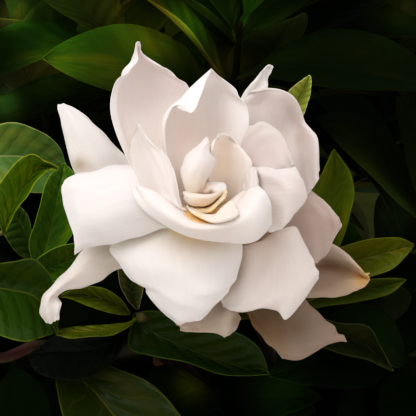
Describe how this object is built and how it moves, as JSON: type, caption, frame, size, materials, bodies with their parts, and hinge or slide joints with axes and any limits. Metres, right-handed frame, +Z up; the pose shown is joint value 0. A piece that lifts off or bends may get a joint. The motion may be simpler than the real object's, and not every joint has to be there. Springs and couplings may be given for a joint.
{
  "type": "potted gardenia",
  "caption": "Compact evergreen gardenia shrub with glossy leaves and one large double white bloom, standing in a plain round clay pot.",
  "frame": {"origin": "centre of the pot's flat foot, on the surface that it stands on", "axes": "+Z up the plant; the bloom faces -Y and up; +X to the right of someone looking at the bloom"},
  "size_m": [0.3149, 0.2709, 0.3827],
  "materials": {
    "terracotta": "matt fired clay",
    "soil": "damp bark and peat mix",
    "bark": "grey-brown bark, green at the young twigs",
    "calyx": "satin green",
    "corolla_tube": "satin cream",
    "petal": "waxy ivory white",
    "leaf": "glossy dark green",
    "leaf_young": "glossy yellow-green",
    "foliage": "glossy dark green on green twigs"
  },
  "bodies": {
    "root": {"pot": "terracotta", "potting_soil": "soil", "woody_stem": "bark", "calyx": "calyx", "corolla_tube": "corolla_tube", "outer_petal_1": "petal", "outer_petal_2": "petal", "outer_petal_3": "petal", "outer_petal_4": "petal", "outer_petal_5": "petal", "outer_petal_6": "petal", "second_petal_1": "petal", "second_petal_2": "petal", "second_petal_3": "petal", "second_petal_4": "petal", "second_petal_5": "petal", "second_petal_6": "petal", "third_petal_1": "petal", "third_petal_2": "petal", "third_petal_3": "petal", "third_petal_4": "petal", "third_petal_5": "petal", "third_petal_6": "petal", "inner_petal_1": "petal", "inner_petal_2": "petal", "inner_petal_3": "petal", "inner_petal_4": "petal", "inner_petal_5": "petal", "inner_petal_6": "petal", "leaf_left_upper": "leaf", "leaf_left_front": "leaf", "leaf_left_inner": "leaf", "leaf_left_small": "leaf", "leaf_left_dark": "leaf", "leaf_left_broad": "leaf", "leaf_under_curl": "leaf_young", "leaf_olive": "leaf", "leaf_centre_small": "leaf", "leaf_lower_left": "leaf", "leaf_lower_shadow": "leaf", "leaf_lower_centre": "leaf", "leaf_young": "leaf_young", "leaf_right": "leaf", "leaf_right_lower": "leaf", "leaf_right_upper": "leaf", "leaf_right_dark": "leaf", "leafy_branch_1": "foliage", "leafy_branch_2": "foliage", "leafy_branch_3": "foliage", "leafy_branch_4": "foliage", "leafy_branch_5": "foliage", "leafy_branch_6": "foliage", "leafy_branch_7": "foliage", "leafy_branch_8": "foliage", "leafy_branch_9": "foliage", "leafy_branch_10": "foliage", "leafy_branch_11": "foliage", "leafy_branch_12": "foliage", "leafy_branch_13": "foliage", "leafy_branch_14": "foliage"}
  },
  "joints": []
}
